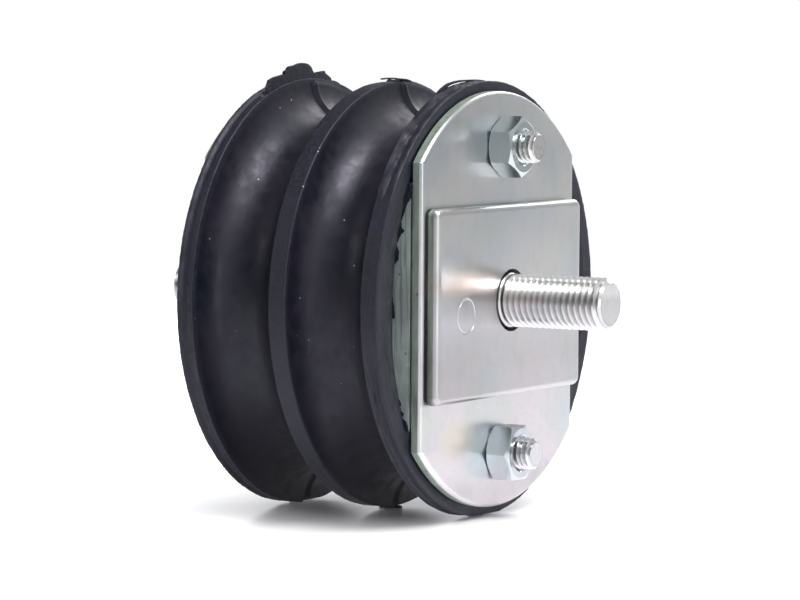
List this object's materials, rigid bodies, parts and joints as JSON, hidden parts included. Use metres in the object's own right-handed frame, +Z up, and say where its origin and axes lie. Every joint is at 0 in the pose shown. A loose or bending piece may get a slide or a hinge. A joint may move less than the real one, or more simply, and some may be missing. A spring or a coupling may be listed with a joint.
{
  "type": "engine mount",
  "caption": "Round rubber engine mount with grooves round its body and, at each end, clamped steel plates, nuts and a threaded fixing stud.",
  "frame": {"origin": "on the stud axis, at the outer face of the front stud plate, where the front stud leaves it", "axes": "+X out along the front stud, +Z up as the mount lies on its rims, towards the upper bolts"},
  "size_m": [0.0952, 0.0822, 0.0819],
  "materials": {
    "rubber": "satin moulded",
    "plate_zinc": "bright zinc plated, clear passivated",
    "stud_zinc": "bright zinc plated thread",
    "bolt_zinc": "bright zinc plated thread",
    "nut_zinc": "bright zinc plated"
  },
  "bodies": {
    "root": {"rubber_body": "rubber", "front_bonded_plate": "plate_zinc", "front_clamp_plate": "plate_zinc", "front_stud_plate": "plate_zinc", "front_stud": "stud_zinc", "front_upper_bolt": "bolt_zinc", "front_lower_bolt": "bolt_zinc", "front_upper_nut": "nut_zinc", "front_lower_nut": "nut_zinc", "rear_bonded_plate": "plate_zinc", "rear_clamp_plate": "plate_zinc", "rear_stud_plate": "plate_zinc", "rear_stud": "stud_zinc", "rear_upper_bolt": "bolt_zinc", "rear_lower_bolt": "bolt_zinc", "rear_upper_nut": "nut_zinc", "rear_lower_nut": "nut_zinc"}
  },
  "joints": []
}
